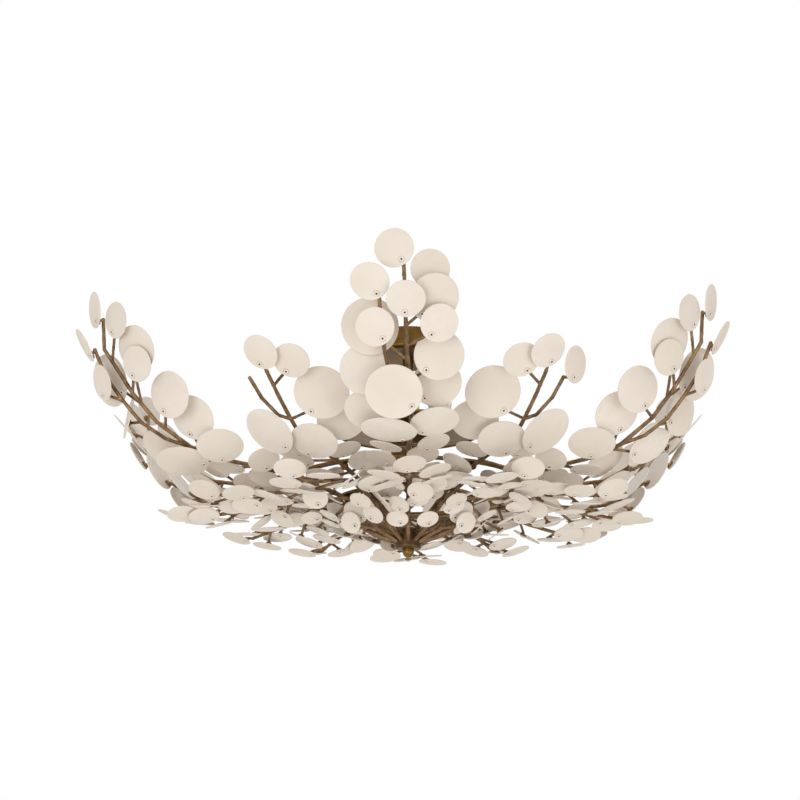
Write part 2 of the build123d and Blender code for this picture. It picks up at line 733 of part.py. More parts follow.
def stem_solids(branch):
    """Trunk rods, knots, and one twig with its pad for each disc."""
    balls = [fork_ball(branch, k) if k else 0.0 for k in range(len(branch.knots))]
    solids = [ball(branch.knots[k], balls[k]) for k in range(1, len(branch.knots))]
    if branch.parent:
        balls[0] = fork_ball(branch.parent, branch.parent.fork_knot)
        start = branch.knots[0]
    else:
        first = unit(branch.knots[1] - branch.knots[0])
        start = branch.knots[0] + first * (HUB_R - SOCKET_DEPTH) / np.linalg.norm(first[:2])
    for k in range(1, len(branch.knots)):
        begin = start if k == 1 else branch.knots[k - 1]
        begin_r = branch.radius_at(branch.marks[k - 1])
        end_r = branch.radius_at(branch.marks[k])
        solids.append(rod(begin, branch.knots[k], begin_r, end_r, balls[k - 1], balls[k]))
    pad = pad_solid()
    for k, centre, facing, to_screw, radius, screw, axis in branch.twigs:
        begin = branch.knots[k]
        end = twig_end(screw, axis, begin)
        twig = rod(begin, end, TWIG_R, TWIG_R, balls[k], 0.0)
        lug = located(pad, screw, across(axis, end - begin), axis)
        joined = (Part(twig.wrapped) + Part(lug.wrapped)).solids()
        solids.append(max(joined, key=lambda s: s.volume))
    return solids + (stem_solids(branch.fork) if branch.fork else [])


def hangings(branch):
    return branch.twigs + (branch.fork.twigs if branch.fork else [])


def hung_discs(branch):
    return [
        located(disc_solid(radius), centre, to_screw, facing)
        for _, centre, facing, to_screw, radius, _, _ in hangings(branch)
    ]


def hung_screws(branch):
    screw = screw_solid()
    return [located(screw, place, across(axis, to_screw), axis)
            for _, _, _, to_screw, _, place, axis in hangings(branch)]


# Ceiling hardware
def mounting_bracket():
    plate = Box(BRACKET_LENGTH, BRACKET_WIDTH, BRACKET_THICK)
    for way in (-1, 1):
        plate -= Pos(way * SLOT_SPACING / 2, 0, 0) * extrude(
            SlotOverall(SLOT_LENGTH, SLOT_WIDTH), 2 * BRACKET_THICK, both=True)
        plate -= Pos(way * STUD_OFFSET, 0, 0) * Cylinder(STUD_R + SEAT, 3 * BRACKET_THICK)
    plate -= Cylinder(TUBE_R + SEAT, 3 * BRACKET_THICK)
    plate -= Pos(GROUND_SCREW_OFFSET, 0, 0) * Cylinder(STUD_R + SEAT, 3 * BRACKET_THICK)
    return plate.solid().moved(Location((0, 0, -BRACKET_THICK / 2)))


def canopy():
    depth, wall, edge = CANOPY_DEPTH, CANOPY_WALL, CANOPY_EDGE_R
    inner_edge = edge - wall
    k = math.sqrt(0.5)
    hole = TUBE_R + HOLE_SLACK
    edges = [
        Edge.make_line((CANOPY_R - wall, 0, 0), (CANOPY_R, 0, 0)),
        Edge.make_line((CANOPY_R, 0, 0), (CANOPY_R, 0, edge - depth)),
        Edge.make_three_point_arc(
            (CANOPY_R, 0, edge - depth), (CANOPY_R - edge * (1 - k), 0, edge * (1 - k) - depth),
            (CANOPY_R - edge, 0, -depth)),
        Edge.make_line((CANOPY_R - edge, 0, -depth), (hole, 0, -depth)),
        Edge.make_line((hole, 0, -depth), (hole, 0, wall - depth)),
        Edge.make_line((hole, 0, wall - depth), (CANOPY_R - edge, 0, wall - depth)),
        Edge.make_three_point_arc(
            (CANOPY_R - edge, 0, wall - depth),
            (CANOPY_R - edge + inner_edge * k, 0, edge - inner_edge * k - depth),
            (CANOPY_R - wall, 0, edge - depth)),
        Edge.make_line((CANOPY_R - wall, 0, edge - depth), (CANOPY_R - wall, 0, 0)),
    ]
    shell = Part(turned_edges(edges).wrapped)
    for way in (-1, 1):
        shell -= Pos(way * STUD_OFFSET, 0, -depth) * Cylinder(STUD_R + HOLE_SLACK, 4 * wall)
    return shell.solid()


def canopy_studs():
    bottom = -(CANOPY_DEPTH + 0.6 * CAP_NUT_H)
    return [plug(STUD_R, bottom, -SEAT).moved(Location((way * STUD_OFFSET, 0, 0))) for way in (-1, 1)]


def stud_lock_nuts():
    top = -(BRACKET_THICK + SEAT)
    nuts = [hex_nut(1.75 * STUD_R, STUD_R + SEAT, top - LOCK_NUT_H, LOCK_NUT_H) for _ in (0, 1)]
    return [nut.moved(Location((way * STUD_OFFSET, 0, 0))) for nut, way in zip(nuts, (-1, 1))]


def dome(radius, base, tip):
    """A downward ball-shaped end from (radius, base) to (0, tip)."""
    drop = base - tip
    ball_r = (radius * radius + drop * drop) / (2 * drop)
    half = math.asin(radius / ball_r) / 2
    return Edge.make_three_point_arc(
        (radius, 0, base), (ball_r * math.sin(half), 0, tip + ball_r * (1 - math.cos(half))), (0, 0, tip))


def cap_nut():
    """A domed nut, open at the top for the stud."""
    seat = -(CANOPY_DEPTH + SEAT)
    bore = STUD_R + RUNNING
    bore_end = -(CANOPY_DEPTH + 0.6 * CAP_NUT_H + RUNNING)
    shoulder = seat - 0.55 * CAP_NUT_H
    tip = seat - CAP_NUT_H
    nut = turned_edges([
        Edge.make_line((bore, 0, seat), (CAP_NUT_R, 0, seat)),
        Edge.make_line((CAP_NUT_R, 0, seat), (CAP_NUT_R, 0, shoulder)),
        dome(CAP_NUT_R, shoulder, tip),
        Edge.make_line((0, 0, tip), (0, 0, bore_end)),
        Edge.make_line((0, 0, bore_end), (bore, 0, bore_end)),
        Edge.make_line((bore, 0, bore_end), (bore, 0, seat)),
    ])
    return nut


def tube_nuts():
    """One nut holds the hanging tube to the bracket, and one holds the tray on the tube."""
    tops = (-(BRACKET_THICK + SEAT), TRAY_Z - TRAY_THICK - SEAT)
    return [hex_nut(1.7 * TUBE_R, TUBE_R + SEAT, top - LOCK_NUT_H, LOCK_NUT_H) for top in tops]


def ground_screw():
    seat = -(BRACKET_THICK + SEAT)
    screw = turned([
        (0, -SEAT), (0, seat - 2.4), (0.7 * GROUND_SCREW_HEAD_R, seat - 2.4), (GROUND_SCREW_HEAD_R, seat - 1.2),
        (GROUND_SCREW_HEAD_R, seat), (STUD_R, seat), (STUD_R, -SEAT),
    ])
    return screw.moved(Location((GROUND_SCREW_OFFSET, 0, 0)))


def lead_ways():
    return [math.radians(angle) for angle in (-125.0, -90.0, -55.0)]


def supply_leads():
    """Three short leads from the hanging tube to the connectors."""
    start = TUBE_R + SEAT
    solids = []
    for angle in lead_ways():
        way = np.array([math.cos(angle), math.sin(angle), 0.0])
        begin = way * start * 1.02 - UP * LEAD_DEPTH
        solids.append(rod(begin, begin + way * (start + 14.0), LEAD_R, LEAD_R, 0.0, 0.0))
    return solids


def wire_nuts():
    solids = []
    for angle in lead_ways():
        way = np.array([math.cos(angle), math.sin(angle), 0.0])
        begin = way * (2.02 * (TUBE_R + SEAT) + 14.0 + SEAT) - UP * LEAD_DEPTH
        solids.append(rod(begin, begin + way * WIRE_NUT_LENGTH, WIRE_NUT_R, 0.55 * WIRE_NUT_R, 0.0, 0.0))
    return solids


# Hanging tube, tray and lamps
def hanging_tube():
    bottom = TRAY_Z - TRAY_THICK - LOCK_NUT_H - 10.0
    return tube(TUBE_R, TUBE_BORE_R, bottom, -SEAT)


def sleeve():
    return tube(SLEEVE_R, TUBE_R + HOLE_SLACK, TRAY_Z + SEAT, -(CANOPY_DEPTH + SEAT))


def lamp_tray():
    """A flat pan with a rolled edge."""
    top, bottom = TRAY_Z, TRAY_Z - TRAY_THICK
    middle = (top + bottom) / 2
    inner = TRAY_R - 2 * TRAY_BEAD_R
    edges = [
        Edge.make_line((TUBE_R + HOLE_SLACK, 0, bottom), (inner, 0, bottom)),
        Edge.make_three_point_arc((inner, 0, bottom), (TRAY_R, 0, middle), (inner, 0, top)),
        Edge.make_line((inner, 0, top), (TUBE_R + HOLE_SLACK, 0, top)),
        Edge.make_line((TUBE_R + HOLE_SLACK, 0, top), (TUBE_R + HOLE_SLACK, 0, bottom)),
    ]
    return turned_edges(edges)


def lamp_places():
    turn = 360.0 / LAMP_COUNT
    return [polar_point(LAMP_CIRCLE_R, turn * (k + 0.5)) for k in range(LAMP_COUNT)]


def polar_point(radius, angle):
    return (radius * math.cos(math.radians(angle)), radius * math.sin(math.radians(angle)), 0)


def lamp_sockets():
    base = TRAY_Z + SEAT
    bore = SOCKET_R - SOCKET_WALL
    cup = turned([
        (0, base), (SOCKET_R, base), (SOCKET_R, base + SOCKET_H), (bore, base + SOCKET_H),
        (bore, base + SOCKET_FLOOR), (0, base + SOCKET_FLOOR),
    ])
    return [cup.moved(Location(place)) for place in lamp_places()]


def socket_leads():
    """A lead lying on the tray from the sleeve to each lamp holder."""
    rise = UP * (TRAY_Z + LEAD_R + 2 * SEAT)
    solids = []
    for place in lamp_places():
        way = unit(place)
        begin = way * (SLEEVE_R + LEAD_R) + rise
        end = way * (LAMP_CIRCLE_R - SOCKET_R - LEAD_R) + rise
        solids.append(rod(begin, end, LEAD_R, LEAD_R, 0.0, 0.0))
    return solids


def bulb():
    """A small round bulb, its screw base standing in the lamp holder."""
    foot = TRAY_Z + SEAT + SOCKET_FLOOR + RUNNING
    collar = foot + BULB_BASE_H
    neck = collar + BULB_NECK_H
    neck_r = 1.25 * BULB_BASE_R
    rise = math.sqrt(BULB_R**2 - neck_r**2)
    centre = neck + rise
    glass_r = 0.5 * (BULB_BASE_R + neck_r)
    return turned_edges([
        Edge.make_line((0, 0, foot), (0.6 * BULB_BASE_R, 0, foot)),
        Edge.make_line((0.6 * BULB_BASE_R, 0, foot), (BULB_BASE_R, 0, foot + 2.5)),
        Edge.make_line((BULB_BASE_R, 0, foot + 2.5), (BULB_BASE_R, 0, collar)),
        Edge.make_line((BULB_BASE_R, 0, collar), (glass_r, 0, collar)),
        Edge.make_line((glass_r, 0, collar), (neck_r, 0, neck)),
        Edge.make_three_point_arc((neck_r, 0, neck), (BULB_R, 0, centre), (0, 0, centre + BULB_R)),
        Edge.make_line((0, 0, centre + BULB_R), (0, 0, foot)),
    ])


# Column, tie rod, hub and hoops
def coupler_span():
    top = TRAY_Z - TRAY_THICK - SEAT - LOCK_NUT_H - 2.0
    return top - COUPLER_LENGTH, top


def rod_coupler():
    """Joins the hanging tube above to the tie rod below."""
    bottom, top = coupler_span()
    tube_end = TRAY_Z - TRAY_THICK - LOCK_NUT_H - 10.0 - SEAT
    rod_top = tube_end - 2.0
    return turned([
        (TIE_ROD_R + SEAT, bottom), (COUPLER_R, bottom), (COUPLER_R, top), (TUBE_R + SEAT, top),
        (TUBE_R + SEAT, tube_end), (2.0, tube_end), (2.0, rod_top), (TIE_ROD_R + SEAT, rod_top),
    ])


def column():
    """A closed turned cup round the coupler, standing against the tray."""
    top = TRAY_Z - TRAY_THICK - SEAT
    bottom = top - COLUMN_LENGTH
    bevel = 5.0
    return turned([
        (TIE_ROD_R + HOLE_SLACK, bottom), (COLUMN_R - bevel, bottom), (COLUMN_R, bottom + bevel),
        (COLUMN_R, top), (COLUMN_R - COLUMN_WALL, top), (COLUMN_R - COLUMN_WALL, bottom + bevel),
        (COLUMN_R - bevel, bottom + 3.0), (TIE_ROD_R + HOLE_SLACK, bottom + 3.0),
    ])


def column_bottom():
    return TRAY_Z - TRAY_THICK - SEAT - COLUMN_LENGTH


def column_nut():
    return hex_nut(2.0 * TIE_ROD_R, TIE_ROD_R + SEAT, column_bottom() - SEAT - LOCK_NUT_H, LOCK_NUT_H)


def tie_rod():
    top = TRAY_Z - TRAY_THICK - LOCK_NUT_H - 12.0 - 2 * SEAT
    bottom = HUB_Z - HUB_BELOW - 0.6 * FINIAL_H
    return plug(TIE_ROD_R, bottom, top)


def hub(branches):
    """A turned boss with two rings of blind holes for the trunks."""
    edge = HUB_EDGE_R
    top, bottom = HUB_Z + HUB_ABOVE, HUB_Z - HUB_BELOW
    bore = TIE_ROD_R + HOLE_SLACK
    k = 1 - math.sqrt(0.5)
    edges = [
        Edge.make_line((bore, 0, bottom), (HUB_R - edge, 0, bottom)),
        Edge.make_three_point_arc(
            (HUB_R - edge, 0, bottom), (HUB_R - edge * k, 0, bottom + edge * k), (HUB_R, 0, bottom + edge)),
        Edge.make_line((HUB_R, 0, bottom + edge), (HUB_R, 0, top - edge)),
        Edge.make_three_point_arc(
            (HUB_R, 0, top - edge), (HUB_R - edge * k, 0, top - edge * k), (HUB_R - edge, 0, top)),
        Edge.make_line((HUB_R - edge, 0, top), (bore, 0, top)),
        Edge.make_line((bore, 0, top), (bore, 0, bottom)),
    ]
    boss = Part(turned_edges(edges).wrapped)
    drills = []
    for branch in branches:
        way = unit(branch.knots[1] - branch.knots[0])
        start = branch.knots[0] + way * (HUB_R - SOCKET_DEPTH - SEAT) / np.linalg.norm(way[:2])
        drill = Solid.make_cylinder(branch.root_r + SOCKET_SLACK, 2 * HUB_R)
        drills.append(Part(located(drill, start, any_across(way), way).wrapped))
    return (boss - drills).solid()


def finial():
    seat = HUB_Z - HUB_BELOW - SEAT
    bore = TIE_ROD_R + SEAT
    bore_end = seat - 0.6 * FINIAL_H - SEAT
    tip = seat - FINIAL_H
    shoulder = seat - 0.35 * FINIAL_H
    return turned_edges([
        Edge.make_line((bore, 0, seat), (FINIAL_R, 0, seat)),
        Edge.make_line((FINIAL_R, 0, seat), (FINIAL_R, 0, shoulder)),
        dome(FINIAL_R, shoulder, tip),
        Edge.make_line((0, 0, tip), (0, 0, bore_end)),
        Edge.make_line((0, 0, bore_end), (bore, 0, bore_end)),
        Edge.make_line((bore, 0, bore_end), (bore, 0, seat)),
    ])


def hoop(radius, rise):
    bottom = HUB_Z + rise + HOOP_KNOT_R + SEAT
    return tube(radius + HOOP_WIDTH / 2, radius - HOOP_WIDTH / 2, bottom, bottom + HOOP_THICK)


def keep_hardware(kept):
    """Room held by the tray, column, hub and hoops."""
    kept.add_disc((0, 0, TRAY_Z - TRAY_THICK / 2), UP, TRAY_R, 3.0)
    kept.add_disc((0, 0, TRAY_Z + SOCKET_H), UP, LAMP_CIRCLE_R + BULB_R, SOCKET_H)
    kept.add_disc((0, 0, TRAY_Z - COLUMN_LENGTH / 2), UP, COLUMN_R, COLUMN_LENGTH / 2)
    kept.add_disc((0, 0, HUB_Z), UP, HUB_R, HUB_ABOVE)
    kept.add_rod((0, 0, TRAY_Z), (0, 0, HUB_Z), TIE_ROD_R)
    for radius, rise in ((UPPER_HOOP_R, UPPER_HOOP_RISE), (LOWER_HOOP_R, LOWER_HOOP_RISE)):
        level = UP * (HUB_Z + rise + HOOP_KNOT_R + HOOP_THICK / 2)
        spots = [np.array(polar_point(radius, 360 * k / 36)) + level for k in range(37)]
        for a, b in zip(spots, spots[1:]):
            kept.add_rod(a, b, HOOP_WIDTH / 2)


def keep_rods(branch, kept):
    for k in range(len(branch.knots) - 1):
        kept.add_rod(branch.knots[k], branch.knots[k + 1], branch.radius_at(branch.marks[k]))
    for k in range(1, len(branch.knots)):
        kept.add_rod(branch.knots[k], branch.knots[k], fork_ball(branch, k))


def grow_branches():
    """All the branches with every disc hung clear of the rest."""
    kept = Kept()
    keep_hardware(kept)
    tall = [TALL_TURN + 2 * BRANCH_PITCH * k for k in range(6)]
    mid = [MID_TURN + 2 * BRANCH_PITCH * k for k in range(6)]
    low = [TALL_TURN + BRANCH_PITCH * k for k in range(12)]
    branches = {"tall": [], "mid": [], "low": []}
    for k, azimuth in enumerate(tall):
        beside = k in SIDE_TALL
        branches["tall"].append(Branch(
            f"tall_{k + 1}", azimuth, trunk_line(TALL_STEPS), (TALL_TRUNK_R, TALL_TIP_R),
            SIDE_TWIST if beside else 0.0, TALL_SWAY[k],
            SIDE_SPREAD if beside else 1.0, SIDE_LEAN if beside else 0.0))
    for k, azimuth in enumerate(mid):
        branches["mid"].append(Branch(
            f"mid_{k + 1}", azimuth, trunk_line(MID_STEPS), (MID_TRUNK_R, MID_TIP_R), MID_TWIST, MID_SWAY[k]))
    for k, azimuth in enumerate(low):
        branches["low"].append(Branch(
            f"low_{k + 1}", azimuth, low_line(LOW_REACH[k]), (LOW_TRUNK_R, LOW_TIP_R)))
    for kind, line, rows in (("tall", TALL_FORK, TALL_FORK_ROWS), ("mid", MID_FORK, MID_FORK_ROWS)):
        for branch in branches[kind]:
            branch.forced = {2: HOOP_KNOT_R, 3: HOOP_KNOT_R}
            branch.grow_fork(line, rows)
    for group in branches.values():
        for branch in group:
            keep_rods(branch, kept)
            if branch.fork:
                keep_rods(branch.fork, kept)
    kept.freeze()
    for kind, group in branches.items():
        for k, branch in enumerate(group):
            rows = {"tall": TALL_ROWS, "mid": MID_ROWS, "low": low_rows(k, branch.length)}[kind]
            if kind == "tall" and k in SIDE_TALL:
                rows = opened(rows)
            if branch.fork:
                for row in branch.fork.rows:
                    hang_disc(branch.fork, row, kept)
            for row in rows:
                hang_disc(branch, row, kept)
    return branches


def write(name, solids):
    shape = solids if not isinstance(solids, list) else Compound(children=solids)
    export_step(shape, f"parts/{name}.step")


os.makedirs("parts", exist_ok=True)
branches = grow_branches()
every_branch = [branch for group in branches.values() for branch in group]

write("mounting_bracket", mounting_bracket())
write("ceiling_canopy", canopy())
write("canopy_studs", canopy_studs())
write("stud_lock_nuts", stud_lock_nuts())
for number, way in ((1, -1), (2, 1)):
    write(f"canopy_cap_nut_{number}", cap_nut().moved(Location((way * STUD_OFFSET, 0, 0))))
write("tube_nuts", tube_nuts())
write("ground_screw", ground_screw())
write("supply_leads", supply_leads())
write("wire_nuts", wire_nuts())
write("hanging_tube", hanging_tube())
write("tube_sleeve", sleeve())
write("lamp_tray", lamp_tray())
write("lamp_sockets", lamp_sockets())
write("socket_leads", socket_leads())
for number, place in enumerate(lamp_places(), 1):
    write(f"bulb_{number}", bulb().moved(Location(place)))
write("rod_coupler", rod_coupler())
write("column", column())
write("column_nut", column_nut())
write("tie_rod", tie_rod())
write("hub", hub(every_branch))
write("finial", finial())
write("upper_hoop", hoop(UPPER_HOOP_R, UPPER_HOOP_RISE))
write("lower_hoop", hoop(LOWER_HOOP_R, LOWER_HOOP_RISE))

for branch in branches["tall"] + branches["mid"]:
    write(f"{branch.name}_stems", stem_solids(branch))
for number in range(6):
    pair = branches["low"][2 * number:2 * number + 2]
    write(f"low_pair_{number + 1}_stems", [solid for branch in pair for solid in stem_solids(branch)])
for branch in branches["tall"]:
    write(f"{branch.name}_discs", hung_discs(branch))
for number in range(3):
    pair = branches["mid"][2 * number:2 * number + 2]
    write(f"mid_pair_{number + 1}_discs", [solid for branch in pair for solid in hung_discs(branch)])
for number in range(2):
    six = branches["low"][6 * number:6 * number + 6]
    write(f"low_half_{number + 1}_discs", [solid for branch in six for solid in hung_discs(branch)])
write("disc_screws", [solid for branch in every_branch for solid in hung_screws(branch)])
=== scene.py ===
import json
import math

import bmesh
import bpy
import numpy as np
from mathutils import Matrix, Vector


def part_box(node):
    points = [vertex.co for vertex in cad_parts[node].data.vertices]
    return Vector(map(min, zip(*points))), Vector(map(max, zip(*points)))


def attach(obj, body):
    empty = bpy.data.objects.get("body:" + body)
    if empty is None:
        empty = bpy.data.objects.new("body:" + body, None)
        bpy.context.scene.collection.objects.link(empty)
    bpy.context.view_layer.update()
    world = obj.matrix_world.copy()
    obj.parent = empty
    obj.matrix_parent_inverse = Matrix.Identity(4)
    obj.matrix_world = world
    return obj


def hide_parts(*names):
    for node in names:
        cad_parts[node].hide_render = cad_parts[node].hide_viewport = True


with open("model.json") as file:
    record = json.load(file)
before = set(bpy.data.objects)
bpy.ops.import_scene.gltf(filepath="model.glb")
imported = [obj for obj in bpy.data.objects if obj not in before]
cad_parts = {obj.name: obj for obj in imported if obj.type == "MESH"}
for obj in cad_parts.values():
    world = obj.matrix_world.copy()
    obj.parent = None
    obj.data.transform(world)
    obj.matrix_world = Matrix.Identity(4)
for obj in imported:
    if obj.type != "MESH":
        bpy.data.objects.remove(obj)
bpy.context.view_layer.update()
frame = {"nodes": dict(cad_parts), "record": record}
nodes = frame["nodes"]
MM = 0.001
WELD = 0.001 * MM


# Colours
IVORY = "#DED4C9"
IVORY_WARM = "#D2C5B5"
IVORY_PALE = "#E6DED5"
BRASS = "#856733"
BRASS_DARK = "#4F3B1A"
BRONZE = "#957858"
BRONZE_DARK = "#5E4830"
BRONZE_WORN = "#B89A74"
ZINC = "#B9BCBE"
ZINC_DULL = "#8F9294"
PORCELAIN = "#EFECE4"
PORCELAIN_SHADE = "#DDD8CC"
GLASS_MILK = "#F6F2E8"
GLASS_PALE = "#FFFDF6"
LEAD_WHITE = "#E8E4DA"
LEAD_SCUFFED = "#CFC8B8"
CONNECTOR_ORANGE = "#D08A3A"
CONNECTOR_WORN = "#B87428"
EARTH_GREEN = "#3C7A4A"
EARTH_GREEN_DARK = "#2A5A36"
FLOOR_PALE = "#F3F1EC"
FLOOR_WHITE = "#FAF8F4"
STUDIO_WHITE = "#FFFFFF"
SKY_WARM = "#FFFDFA"
GRAIN_ROUGHNESS = 0.55


def linear(hex_colour):
    """The linear RGBA of an sRGB hex colour."""
    values = [int(hex_colour[i:i + 2], 16) / 255 for i in (1, 3, 5)]
    return [v / 12.92 if v <= 0.04045 else ((v + 0.055) / 1.055) ** 2.4 for v in values] + [1.0]


# Materials
def add_node(tree, kind, settings=(), **inputs):
    """A node with its settings. Its inputs are values, outputs, or nodes whose first output counts."""
    made = tree.nodes.new(kind)
    for name, value in dict(settings).items():
        setattr(made, name, value)
    for name, value in inputs.items():
        key = int(name[1:]) if name[0] == "n" and name[1:].isdigit() else name.replace("_", " ")
        given = value.outputs[0] if isinstance(value, bpy.types.Node) else value
        if isinstance(given, bpy.types.NodeSocket):
            tree.links.new(given, made.inputs[key])
        else:
            made.inputs[key].default_value = given
    return made


def new_material(name):
    made = bpy.data.materials.new(name)
    made.use_nodes = True
    made.node_tree.nodes.clear()
    return made, made.node_tree


def grain(tree, size_mm, detail=3.0, stretch=None):
    """A noise pattern on object coordinates whose patches are about size_mm across."""
    place = add_node(tree, "ShaderNodeTexCoord").outputs["Object"]
    if stretch:
        place = add_node(tree, "ShaderNodeMapping", Vector=place, Scale=stretch)
    return add_node(tree, "ShaderNodeTexNoise", Vector=place, Scale=1 / (size_mm * MM), Detail=detail,
                    Roughness=GRAIN_ROUGHNESS)


def blend_of(tree, pattern, low, high, start=0.35, end=0.65):
    """Two colours mixed by a pattern, from start to end of its range."""
    share = add_node(tree, "ShaderNodeMapRange", Value=pattern, From_Min=start, From_Max=end)
    return add_node(tree, "ShaderNodeMix", {"data_type": "RGBA"}, n0=share, n6=low, n7=high).outputs[2]


def surface(tree, colour, metallic, sheen, rough, relief=None, depth_mm=0.0, strength=1.0):
    """A shader whose roughness follows one pattern, between two values, and whose relief follows another."""
    roughness = add_node(tree, "ShaderNodeMapRange", Value=sheen, From_Min=0.3, From_Max=0.7,
                         To_Min=rough[0], To_Max=rough[1])
    shader = add_node(tree, "ShaderNodeBsdfPrincipled", Base_Color=colour, Metallic=metallic,
                      Roughness=roughness)
    if relief:
        bumps = add_node(tree, "ShaderNodeBump", Height=relief, Distance=depth_mm * MM, Strength=strength)
        tree.links.new(bumps.outputs[0], shader.inputs["Normal"])
    add_node(tree, "ShaderNodeOutputMaterial", Surface=shader)
    return shader


def ivory_enamel():
    """Matt enamel sprayed on pressed steel: warm ivory, a little uneven, and no two discs quite alike."""
    made, tree = new_material("sprayed_matt_enamel")
    clouds = grain(tree, size_mm=70, detail=2.0)
    mottle = grain(tree, size_mm=9, detail=4.0)
    orange_peel = grain(tree, size_mm=1.6, detail=2.0)
    batch = add_node(tree, "ShaderNodeAttribute", {"attribute_name": "tone"}).outputs["Fac"]
    colour = blend_of(tree, clouds, linear(IVORY), linear(IVORY_PALE))
    colour = blend_of(tree, batch, colour, linear(IVORY_WARM), start=0.2, end=1.8)
    colour = blend_of(tree, mottle, colour, linear(IVORY), start=0.35, end=0.95)
    shader = surface(tree, colour, 0.0, mottle, (0.5, 0.64), orange_peel, depth_mm=0.05, strength=0.6)
    shader.inputs["Specular IOR Level"].default_value = 0.3
    return made


def antique_brass():
    """Brushed brass darkened by hand and lacquered: gold where it was rubbed, brown in its clouds."""
    made, tree = new_material("brushed_antique_brass")
    clouds = grain(tree, size_mm=45, detail=4.0)
    brushing = grain(tree, size_mm=1.2, stretch=(1, 1, 14))
    colour = blend_of(tree, clouds, linear(BRASS_DARK), linear(BRASS), start=0.3, end=0.62)
    surface(tree, colour, 1.0, brushing, (0.28, 0.42), brushing, depth_mm=0.04, strength=0.5)
    return made


def bronze(name, low, high, worn, rough):
    """Brazed rod with a brown patina, paler where it is rubbed and pitted by the torch."""
    made, tree = new_material(name)
    clouds = grain(tree, size_mm=16, detail=4.0)
    pits = grain(tree, size_mm=2.4, detail=4.0)
    colour = blend_of(tree, clouds, linear(low), linear(high), start=0.32, end=0.66)
    colour = blend_of(tree, pits, colour, linear(worn), start=0.58, end=0.78)
    surface(tree, colour, 0.85, pits, (rough, rough + 0.16), pits, depth_mm=0.22, strength=0.7)
    return made


def zinc_steel():
    """Zinc-plated steel: grey spangle with a soft shine."""
    made, tree = new_material("zinc_plated_steel")
    spangle = grain(tree, size_mm=5)
    colour = blend_of(tree, spangle, linear(ZINC_DULL), linear(ZINC))
    surface(tree, colour, 1.0, spangle, (0.3, 0.45), spangle, depth_mm=0.03, strength=0.4)
    return made


def plain_coat(name, low, high, size_mm, rough, depth_mm, specular=0.5):
    """A moulded, drawn, painted or glazed surface in one colour with a little tone in it."""
    made, tree = new_material(name)
    tone = grain(tree, size_mm)
    colour = blend_of(tree, tone, linear(low), linear(high))
    shader = surface(tree, colour, 0.0, tone, (rough, rough + 0.08), tone, depth_mm, strength=0.4)
    shader.inputs["Specular IOR Level"].default_value = specular
    return made


def opal_glass():
    """Blown opal glass: milky, smooth and a little see-through at its skin."""
    made, tree = new_material("blown_opal_glass")
    swirl = grain(tree, size_mm=12, detail=2.0)
    colour = blend_of(tree, swirl, linear(GLASS_MILK), linear(GLASS_PALE))
    shader = surface(tree, colour, 0.0, swirl, (0.12, 0.2))
    shader.inputs["IOR"].default_value = 1.5
    shader.inputs["Transmission Weight"].default_value = 0.05
    shader.inputs["Subsurface Weight"].default_value = 0.3
    return made


FINISHES = {
    "ivory_enamel": ivory_enamel(),
    "antique_brass": antique_brass(),
    "brown_bronze": bronze("patinated_brazed_bronze", BRONZE_DARK, BRONZE, BRONZE_WORN, 0.38),
    # Dark bronze also dresses the thin discs on the screw heads, where it is painted shade in the hex
    # sockets
    "dark_bronze": bronze("dark_patinated_bronze_and_socket_shade", BRONZE_DARK, BRASS_DARK, BRONZE, 0.34),
    "zinc_steel": zinc_steel(),
    # Lacquered brass: an even green with a dull shine
    "green_screw": plain_coat("green_lacquered_brass", EARTH_GREEN_DARK, EARTH_GREEN, 3, 0.35, 0.02),
    # Drawn PVC: soft white, scuffed grey in places
    "lead_insulation": plain_coat("drawn_pvc_insulation", LEAD_SCUFFED, LEAD_WHITE, 6, 0.45, 0.02),
    # Moulded nylon: orange and satin, with a fine skin
    "connector_plastic": plain_coat("moulded_nylon", CONNECTOR_WORN, CONNECTOR_ORANGE, 4, 0.42, 0.04),
    # Glazed porcelain: glassy white over a faintly uneven body
    "porcelain": plain_coat("glazed_porcelain", PORCELAIN_SHADE, PORCELAIN, 14, 0.14, 0.03),
    "frosted_glass": opal_glass(),
}


def dress(piece, finish):
    piece.data.materials.clear()
    piece.data.materials.append(FINISHES[finish])


for part in frame["record"]["subparts"]:
    dress(nodes[part["node"]], part["material_slot"])


# Loose pieces of the CAD nodes
def put(mesh, name):
    made = bpy.data.objects.new(name, mesh)
    bpy.context.scene.collection.objects.link(made)
    return made


def loose_pieces(node):
    """Each loose piece of a CAD node, as an array of its triangles' corners."""
    net = bmesh.new()
    net.from_mesh(nodes[node].data)
    bmesh.ops.remove_doubles(net, verts=net.verts, dist=WELD)
    points = np.array([v.co for v in net.verts])
    faces = np.array([[v.index for v in face.verts] for face in net.faces])
    net.free()
    label = np.arange(len(points))
    while True:
        lowest = label[faces].min(axis=1)
        better = label.copy()
        for corner in range(3):
            np.minimum.at(better, faces[:, corner], lowest)
        better = better[better]
        if np.array_equal(better, label):
            break
        label = better
    owner = label[faces[:, 0]]
    order = np.argsort(owner, kind="stable")
    cuts = np.nonzero(np.diff(owner[order]))[0] + 1
    return [points[faces[part]] for part in np.split(order, cuts)]


def spread_of(piece):
    """The middle of a piece's surface, and its directions from the least spread to the most."""
    sides = np.cross(piece[:, 1] - piece[:, 0], piece[:, 2] - piece[:, 0])
    middles = piece.mean(axis=1)
    areas = np.linalg.norm(sides, axis=1)
    centre = np.average(middles, axis=0, weights=areas)
    offsets = middles - centre
    amounts, ways = np.linalg.eigh(np.einsum("k,ki,kj->ij", areas, offsets, offsets))
    return centre, amounts, ways.T


def heights_and_reaches(piece, centre, axis):
    """How far each corner of a piece lies along an axis, and how far from it."""
    offsets = piece.reshape(-1, 3) - centre
    heights = offsets @ axis
    return heights, np.linalg.norm(offsets - np.outer(heights, axis), axis=1)


